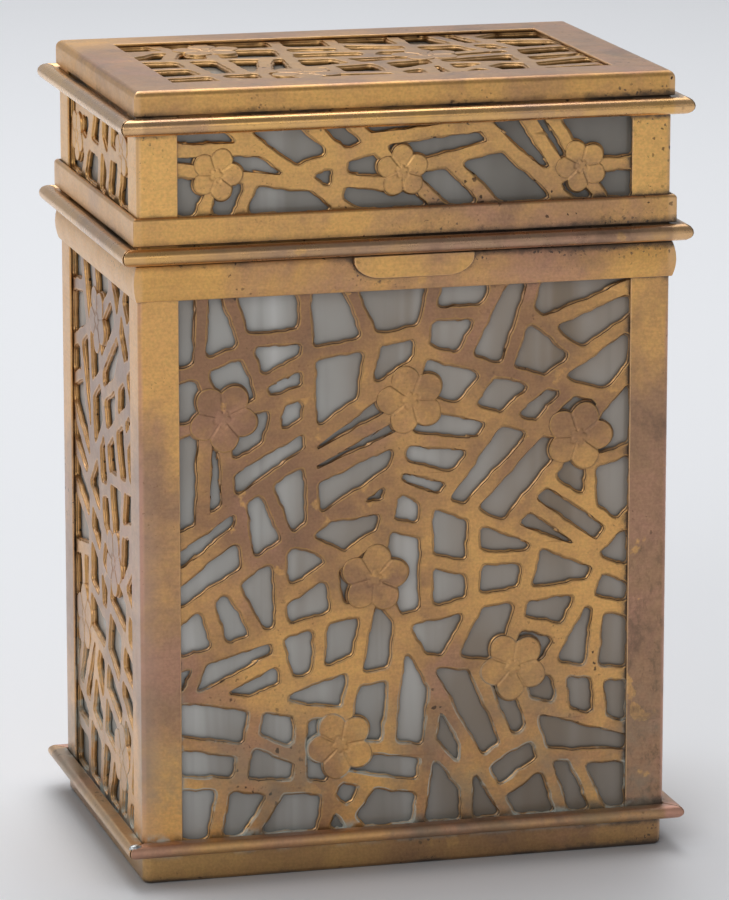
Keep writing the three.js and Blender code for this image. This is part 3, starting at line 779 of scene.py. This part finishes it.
def metal_fields(tree):
    """What the layers of a metal go by: place, slope, noises, shelter, neglect and the marks on its faces."""
    place = place_of(tree)
    across, depth, height = parts_of(tree, place)
    normal = add_node(tree, "ShaderNodeNewGeometry").outputs["Normal"]
    _, _, upward = parts_of(tree, normal)
    close_air = open_air(tree, FIELD.close_air)
    recess = mark(tree, "recess")
    hole_wall = ramp(tree, recess, *FIELD.any_recess)
    dust_levels = [cad_bounds[1][2] - below * MM for below in FIELD.dust_below_top]
    neglect = ramp_mm(tree, across, *FIELD.neglect)
    return SimpleNamespace(
        place=place, across=across, depth=depth, height=height, upward=upward,
        mottle=noise(tree, place, *FIELD.mottle), speckle=noise(tree, place, *FIELD.speckle),
        grain=noise(tree, place, *FIELD.grain), patchy=noise(tree, place, *FIELD.patchy),
        close_air=close_air, wide_air=open_air(tree, FIELD.wide_air),
        sheltered=ramp(tree, close_air, *FIELD.sheltered),
        dusty=ramp(tree, height, *dust_levels, *FIELD.dust),
        neglect=neglect, neglected_head=product(tree, neglect, ramp_mm(tree, height, *FIELD.neglect_high)),
        edge=mark(tree, "edge"), recess=recess, hole_wall=hole_wall,
        plain_face=ramp(tree, hole_wall, *FIELD.opposite),
    )


def wear_of(tree, at, look):
    """How worn the gilding is: by height, by side, on level faces, where the worn colour is also painted
    shade, and where hands hold the case.
    """
    return sum_of(
        tree,
        ramp_mm(tree, at.height, *WEAR.high, look.foot_wear, look.head_wear),
        ramp_mm(tree, at.across, *look.side_wear),
        # Level faces take more worn colour: wear, and painted shade on the faces that look up.
        ramp(tree, at.upward, *WEAR.upward, 0.0, look.top_wear),
        product(
            tree, ramp_mm(tree, at.height, *WEAR.grip_above, 0.0, look.grip),
            ramp_mm(tree, at.height, *WEAR.grip_below),
        ),
    )


def gilded(tree, at, look):
    """Gold worn through to brown in patches, with copper-red blushes, specks of gold left and dark clouds."""
    worn_level = sum_of(
        tree, noise(tree, at.place, *GILDING.patches), product(tree, at.mottle, GILDING.mottle),
        product(tree, wear_of(tree, at, look), GILDING.wear),
    )
    worn_here = ramp(tree, worn_level, *GILDING.worn)
    colour = mix_colour(tree, worn_here, look.gold, look.worn)
    blush = ramp(tree, noise(tree, at.place, *GILDING.blush), *GILDING.blushed)
    colour = mix_colour(tree, product(tree, blush, worn_here), colour, GILDING.copper)
    remnants = ramp(tree, noise(tree, at.place, *GILDING.remnants), *GILDING.remaining)
    remaining = product(tree, remnants, worn_here, GILDING.remnant_share)
    colour = mix_colour(tree, remaining, colour, look.gold)
    clouds = product(
        tree, ramp(tree, noise(tree, at.place, *GILDING.clouds), *GILDING.clouded),
        sum_of(tree, worn_here, GILDING.least_clouded), ramp_mm(tree, at.across, *GILDING.cloudy),
    )
    colour = mix_colour(tree, clouds, colour, GILDING.cloud_colour)
    return mix_colour(tree, product(tree, at.hole_wall, GILDING.hole_walls), colour, look.gold)


def toned(tree, at, look, colour):
    """Small changes of tone and hue all over the metal, and the fine level marks of its rubbing down."""
    shade = sum_of(
        tree, ramp(tree, noise(tree, at.place, *TONE.brush), *TONE.brushed),
        ramp(tree, at.speckle, *TONE.speckled), ramp(tree, at.grain, *TONE.grained),
    )
    values = {"Color": colour, "Value": shade, "Hue": ramp(tree, at.speckle, *TONE.hue)}
    gritty = add_node(tree, "ShaderNodeHueSaturation", inputs=values).outputs["Color"]
    return mix_colour(tree, look.grit, colour, gritty)


def used(tree, at, look, colour):
    """Scuffs low on the right, rubbed edges brightened as wear with a painted glint, corners that hands have
    held, and hole walls darkened by tarnish and painted shade.
    """
    scuffed = product(
        tree, ramp(tree, noise(tree, at.place, *USE.scuffs), *USE.scuffed),
        ramp_mm(tree, at.across, *USE.scuffed_across),
        ramp_mm(tree, at.height, *USE.scuffed_high, 0.0, look.stain),
    )
    colour = mix_colour(tree, scuffed, colour, USE.scuff_colour)
    # Rubbed edges in a paler gold: wear, and a painted glint along the arrises.
    rubbed_and_glinting = product(
        tree, at.edge, ramp(tree, at.mottle, *USE.rubbed_and_glinting), ramp_mm(tree, at.height, *USE.above_floor)
    )
    colour = mix_colour(tree, rubbed_and_glinting, colour, USE.rubbed_glint_colour)
    held = product(
        tree, ramp_mm(tree, at.across, *USE.held_across),
        ramp_mm(tree, size_of(tree, at.depth), *USE.held_deep), ramp(tree, at.patchy, *USE.held_patches),
        ramp_mm(tree, at.height, *USE.held_high, 0.0, look.stain),
    )
    colour = mix_colour(tree, held, colour, USE.held_colour)
    # The case's upright corners in the arris colour: wear, and for most metals the paler glint colour of
    # rubbed edges.
    arris = product(
        tree, ramp_mm(tree, size_of(tree, at.across), *USE.arris_across),
        ramp_mm(tree, size_of(tree, at.depth), *USE.arris_deep), ramp(tree, at.patchy, *USE.arris_patches),
    )
    colour = mix_colour(tree, arris, colour, look.arris)
    # Tarnish and painted shade in the holes' walls and round their rims.
    hole_tarnish_and_shade = product(tree, at.recess, ramp(tree, at.speckle, *USE.hole_tarnish_and_shade))
    return mix_colour(tree, hole_tarnish_and_shade, colour, USE.hole_tarnish_and_shade_colour)


def pits_of(tree, at, look):
    """Dark pits in clusters, most of them where the metal is sheltered or neglected."""
    clusters = sum_of(
        tree, noise(tree, at.place, *PIT.clusters), product(tree, at.sheltered, PIT.sheltered),
        at.neglected_head,
    )
    return product(tree, spots(tree, at.place, *PIT.spots), ramp(tree, clusters, *PIT.clustered), look.grit)


def crust_of(tree, at, look):
    """Black crust: a ragged edging along the joints, and crumbs beside them."""
    crumbly = product(
        tree, ramp(tree, at.wide_air, *CRUST.crumb_air),
        ramp(tree, sum_of(tree, at.patchy, at.neglected_head), *CRUST.crumb_patches),
    )
    crumbs = product(
        tree, spots(tree, at.place, *CRUST.crumbs), ramp(tree, crumbly, *CRUST.crumbly), at.dusty,
        at.plain_face, look.grit,
    )
    grime = product(
        tree, ramp_mm(tree, at.across, *CRUST.grime_across), ramp_mm(tree, at.height, *CRUST.grime_high),
        at.sheltered,
    )
    grimy = sum_of(tree, at.neglect, grime)
    ragged = sum_of(
        tree, at.close_air, product(tree, at.mottle, CRUST.mottle), product(tree, at.speckle, CRUST.speckle),
        product(tree, grimy, CRUST.grime),
    )
    edging = product(
        tree, ramp(tree, ragged, *CRUST.edging),
        ramp(tree, sum_of(tree, at.patchy, grimy), *CRUST.edging_patches), at.dusty, at.plain_face,
    )
    return product(tree, combined(tree, "MAXIMUM", edging, crumbs), look.crusty)


def chalk_of(tree, at):
    """Pale chalk in the sheltered places low down."""
    low_down = product(
        tree, ramp_mm(tree, at.height, *BLOOM.chalk_below), ramp_mm(tree, at.height, *BLOOM.chalk_above)
    )
    return product(
        tree, ramp(tree, noise(tree, at.place, *BLOOM.chalk), *BLOOM.chalky),
        sum_of(tree, at.sheltered, product(tree, at.recess, BLOOM.chalk_recess)), low_down,
    )


def haze_of(tree, at, look):
    """A grey haze on the faces low down."""
    return product(
        tree, ramp(tree, noise(tree, at.place, *BLOOM.haze), *BLOOM.hazy),
        ramp_mm(tree, at.height, *BLOOM.haze_below, 0, look.haze_depth),
        ramp_mm(tree, at.height, *BLOOM.haze_above),
    )


def soiled(tree, at, look, colour):
    """The colour with pits, specks, crust, verdigris, chalk and haze on it: (colour, pits, crust, soil)."""
    pits = pits_of(tree, at, look)
    colour = mix_colour(tree, product(tree, pits, PIT.share), colour, PIT.colour)
    specks = product(
        tree, spots(tree, at.place, *PIT.specks), ramp(tree, at.patchy, *PIT.specked), look.grit
    )
    colour = mix_colour(tree, specks, colour, PIT.speck_colour)
    crust = crust_of(tree, at, look)
    colour = mix_colour(tree, product(tree, crust, CRUST.share), colour, CRUST.colour)
    green = ramp(tree, noise(tree, at.place, *BLOOM.verdigris), *BLOOM.green)
    verdigris = product(tree, green, at.sheltered, BLOOM.green_share)
    colour = mix_colour(tree, verdigris, colour, BLOOM.green_colour)
    chalk = chalk_of(tree, at)
    colour = mix_colour(tree, chalk, colour, BLOOM.chalk_colour)
    haze = haze_of(tree, at, look)
    colour = mix_colour(tree, haze, colour, BLOOM.haze_colour)
    soil = sum_of(
        tree, crust, chalk, product(tree, at.recess, SURFACE.recess_soil),
        product(tree, haze, SURFACE.haze_soil),
    )
    return colour, pits, crust, soil


def bronze(name, look):
    """Gilt bronze: worn, rubbed on its edges with a painted glint, dark with crust in its corners and
    recesses, and with painted shade in its hole walls.
    """
    tree = shader(name)
    at = metal_fields(tree)
    colour = used(tree, at, look, toned(tree, at, look, gilded(tree, at, look)))
    colour, pits, crust, soil = soiled(tree, at, look, colour)
    rough = sum_of(
        tree, ramp(tree, at.mottle, *SURFACE.rough, look.shine, look.shine + SURFACE.rough_spread),
        product(tree, sum_of(tree, soil, pits), SURFACE.soil_rough),
    )
    relief = sum_of(
        tree, product(tree, at.grain, SURFACE.grain), product(tree, at.speckle, SURFACE.speckle),
        product(tree, at.mottle, SURFACE.mottle), product(tree, pits, SURFACE.pits),
        product(tree, crust, SURFACE.crust),
    )
    add_surface(tree, {
        "Base Color": colour, "Metallic": ramp(tree, soil, *SURFACE.soil_metal), "Roughness": rough,
        "Normal": bump(tree, look.bumps, SURFACE.bump_height, relief),
        "Coat Weight": look.lacquer, "Coat Roughness": SURFACE.coat_rough,
    })


# The other materials.


def opal_glass(name, cool, warm, streaky):
    """Opalescent sheet: milky with upright streaks, cool on one side and amber on the other, with painted
    shade low down and beside the bars, and a painted sheen on the left panes.
    """
    tree = shader(name)
    place = place_of(tree)
    across, _, height = parts_of(tree, place)
    clouds = noise(tree, place, *OPAL.clouds)
    amber = sum_of(tree, ramp_mm(tree, across, *OPAL.amber_across), ramp(tree, clouds, *OPAL.amber_clouds))
    colour = mix_colour(tree, amber, cool, warm)
    milk = product(
        tree, ramp(tree, noise(tree, place, *OPAL.streaks), *OPAL.milky, 0.0, streaky),
        ramp_mm(tree, across, *OPAL.milk_across),
    )
    colour = mix_colour(tree, milk, colour, OPAL.milk_colour)
    # Painted sheen: the left panes made paler, standing for their reflection seen at a glancing angle.
    colour = mix_colour(tree, ramp_mm(tree, across, *OPAL.sheen_across), colour, OPAL.painted_sheen_colour)
    threads = ramp(tree, noise(tree, place, *OPAL.threads), *OPAL.threaded)
    colour = mix_colour(tree, threads, colour, OPAL.thread_colour)
    # Painted shade: the glass drawn darker low down.
    colour = mix_colour(tree, ramp_mm(tree, height, *OPAL.shade_below), colour, OPAL.low_shade_colour)
    # Painted shade: the glass darkened where the fret's bars stand close over it.
    shaded = ramp(tree, open_air(tree, OPAL.air), *OPAL.shaded)
    colour = mix_colour(tree, shaded, colour, OPAL.shade_colour)
    waves = noise(tree, place, *OPAL.waves)
    add_surface(tree, {
        "Base Color": colour, "Roughness": ramp(tree, clouds, *OPAL.rough),
        "Normal": bump(tree, OPAL.bumps, OPAL.bump_height, waves), "IOR": OPAL.refraction,
    })


def solder():
    """Grey solder, dull with bright specks."""
    look = SOLDER_LOOK
    tree = shader("solder")
    tone = noise(tree, place_of(tree), *look.tone)
    colour = mix_colour(tree, ramp(tree, tone, *look.bright), look.dull_colour, look.bright_colour)
    add_surface(tree, {"Base Color": colour, "Metallic": 1.0, "Roughness": ramp(tree, tone, *look.rough)})


def pale_floor():
    """A pale sheet, painted a little brighter behind the case than in front of it, with painted shade right
    beside it.
    """
    tree = shader("pale_floor")
    _, depth, _ = parts_of(tree, place_of(tree))
    # Painted light: the floor's colour a little brighter behind the case than in front of it.
    colour = mix_colour(tree, ramp(tree, depth, *FLOOR.fade), FLOOR.near_colour, FLOOR.far_colour)
    # Painted shade: the floor's colour darkened where the case stands close by.
    shaded = ramp(tree, open_air(tree, FLOOR.air, FLOOR.air_samples), *FLOOR.shaded)
    colour = mix_colour(tree, shaded, colour, FLOOR.shade_colour)
    add_surface(tree, {"Base Color": colour, "Roughness": FLOOR.rough})


def add_materials():
    for name, look in GLASSES.items():
        opal_glass(name, **look)
    for name, look in METALS.items():
        bronze(name, SimpleNamespace(**{**PLAIN_METAL, **look}))
    solder()
    pale_floor()


# The dressing of the solids.


def dress_fretwork():
    post_low, post_high = corners("corner_post_front_left")
    leg = post_high - post_low
    sill, head = corners("base_bead_front")[1].z, corners("rim_band")[0].z
    lid_sill, lid_head = corners("lid_band")[1].z, corners("lid_upper_bead_front")[0].z
    for side, wall in WALLS.items():
        turn = Matrix.Rotation(math.radians(wall["turn"]), 4, "Z")
        along = wall["along"]
        window_half = round(-post_low[along] - leg[along], SIZE_DECIMALS)
        for node, foot, top, radius, seed in (
            (f"fretwork_{side}", sill, head, BLOSSOM_RADIUS, wall["seed"]),
            (f"lid_fretwork_{side}", lid_sill, lid_head, LID_BLOSSOM_RADIUS, wall["lid_seed"]),
        ):
            low, high = [turn.inverted() @ corner for corner in corners(node)]
            half = max(abs(low.x), abs(high.x))
            made = fretwork_mesh(
                Vector((-half, low.z)), Vector((half, high.z)),
                Vector((-window_half, foot)), Vector((window_half, top)), radius, seed, wall["hole_grime_and_shade"],
            )
            face = max(low.y, high.y) - FRET_THICKNESS
            stand = Matrix.Translation((0, face * MM, 0)) @ Matrix.Rotation(math.pi / 2, 4, "X")
            bmesh.ops.transform(made, matrix=turn @ stand, verts=made.verts)
            new_piece(made, node)


def dress_top_fretwork():
    node = "lid_top_fretwork"
    low, high = corners(node)
    window_low = corners("corner_post_front_left")[0].xy + Vector((TOP_BORDER, TOP_BORDER))
    made = fretwork_mesh(low.xy, high.xy, window_low, -window_low, BLOSSOM_RADIUS, TOP_SEED, TOP_HOLE_GRIME_AND_SHADE)
    bmesh.ops.translate(made, verts=made.verts, vec=(0, 0, (low.z + FRET_THICKNESS) * MM))
    new_piece(made, node)


def soften(made, edges, size, segments):
    """Rounds the edges off and marks the new faces as rubbed, which gives them worn colour with a painted
    glint.
    """
    rounded = bmesh.ops.bevel(
        made, geom=edges, offset=size * MM, offset_type="OFFSET", segments=segments, profile=0.5,
        affect="EDGES", clamp_overlap=True,
    )
    rubbed_and_glinting = made.faces.layers.float["edge"]
    for face in rounded["faces"]:
        face.smooth = True
        face[rubbed_and_glinting] = 1


def sharp_edges(made):
    return [edge for edge in made.edges if edge.is_manifold and edge.calc_face_angle() > SHARP_ANGLE]


def outer_edges(edges, node):
    """The edges round the outside of a piece's foot or head."""
    low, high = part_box(node)
    level = (low, high)[ROUNDED_EDGES[node]["end"]].z

    def outside(vert):
        x, y, z = vert.co
        reach = min(x - low.x, high.x - x, y - low.y, high.y - y)
        return abs(z - level) < STRIP_EDGE * MM and reach < OUTSIDE_REACH * MM

    return [edge for edge in edges if all(outside(vert) for vert in edge.verts)]


def dress_strips():
    """The other metal pieces, with softened edges."""
    for node, cad in frame["nodes"].items():
        if "fretwork" in node or slot_of(node) == "opal_glass":
            continue
        made = marked_bmesh()
        verts = [made.verts.new(vert.co) for vert in cad.data.vertices]
        for polygon in cad.data.polygons:
            made.faces.new([verts[i] for i in polygon.vertices]).smooth = True
        weld(made)
        bmesh.ops.dissolve_limit(
            made, angle_limit=FLAT_ANGLE, use_dissolve_boundaries=False, verts=made.verts, edges=made.edges
        )
        if node in ROUNDED_EDGES:
            outer = outer_edges(sharp_edges(made), node)
            soften(made, outer, ROUNDED_EDGES[node]["radius"], ROUNDED_SEGMENTS)
        soften(made, sharp_edges(made), STRIP_EDGE, STRIP_SEGMENTS)
        weld(made)
        new_piece(made, node)


def dress_glass():
    for node, cad in frame["nodes"].items():
        if slot_of(node) == "opal_glass":
            glass = "lid_opal_glass" if body_of(node) == "lid" else "opal_glass"
            cad.data.materials.clear()
            cad.data.materials.append(MATERIALS[glass])


def add_solder():
    """The drop of solder on the front left mitre of the base bead."""
    node = "base_bead_front"
    low, high = corners(node)
    made = bmesh.new()
    bmesh.ops.create_icosphere(made, subdivisions=SOLDER_DETAIL, radius=SOLDER_SIZE * MM)
    for vert in made.verts:
        x, y, z = [part * wave for part, wave in zip(vert.co, SOLDER_WAVES)]
        swell = 1 + SOLDER_LUMP * math.sin(x + SOLDER_PHASE) * math.sin(y) * math.cos(z)
        vert.co = Vector([part * share for part, share in zip(vert.co, SOLDER_SHAPE)]) * swell
    for face in made.faces:
        face.smooth = True
    place = Vector((low.x + SOLDER_INSET, low.y + SOLDER_INSET, high.z - SOLDER_SINK))
    bmesh.ops.translate(made, verts=made.verts, vec=place * MM)
    drop = new_object("solder_drop", made, MATERIALS["solder"])
    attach(drop, body_of(node))


# The studio.


def add_floor():
    made = bmesh.new()
    bmesh.ops.create_grid(made, x_segments=FLOOR.cells, y_segments=FLOOR.cells, size=FLOOR.size)
    floor = new_object("floor", made, MATERIALS["pale_floor"])


def add_lamp(name, place, width, height, power):
    light = bpy.data.lights.new(name, "AREA")
    light.shape = "RECTANGLE"
    light.size = width
    light.size_y = height
    light.energy = power
    lamp = bpy.data.objects.new(name, light)
    lamp.location = place
    aim = Vector(LAMP_AIM) - Vector(place)
    lamp.rotation_euler = aim.to_track_quat("-Z", "Y").to_euler()
    bpy.context.collection.objects.link(lamp)


def add_light():
    world = bpy.data.worlds.new("studio")
    bpy.context.scene.world = world
    world.use_nodes = True
    tree = world.node_tree
    tree.nodes.clear()
    direction = add_node(tree, "ShaderNodeTexCoord").outputs["Generated"]
    parts = add_node(tree, "ShaderNodeSeparateXYZ", inputs={0: direction})
    colour = mix_colour(tree, ramp(tree, parts.outputs["Y"], *SKY_FADE), SKY_FRONT, SKY_BACK)
    light = add_node(tree, "ShaderNodeBackground", inputs={"Color": colour, "Strength": 1.0})
    add_node(tree, "ShaderNodeOutputWorld", inputs={"Surface": light.outputs[0]})
    for name, lamp in LAMPS.items():
        add_lamp(name, **lamp)


def add_camera():
    azimuth, elevation = math.radians(VIEW_AZIMUTH), math.radians(VIEW_ELEVATION)
    level = math.cos(elevation)
    away = Vector((math.sin(azimuth) * level, -math.cos(azimuth) * level, math.sin(elevation)))
    camera = bpy.data.cameras.new("camera")
    camera.lens = VIEW_LENS
    camera.clip_start = VIEW_CLIP_START * MM
    holder = bpy.data.objects.new("camera", camera)
    holder.location = (Vector(VIEW_TARGET) + away * VIEW_DISTANCE) * MM
    holder.rotation_euler = (-away).to_track_quat("-Z", "Y").to_euler()
    bpy.context.collection.objects.link(holder)
    bpy.context.scene.camera = holder


add_materials()
add_camera()
dress_fretwork()
dress_top_fretwork()
dress_strips()
dress_glass()
add_solder()
add_floor()
add_light()
bpy.context.scene.view_settings.view_transform = "Standard"
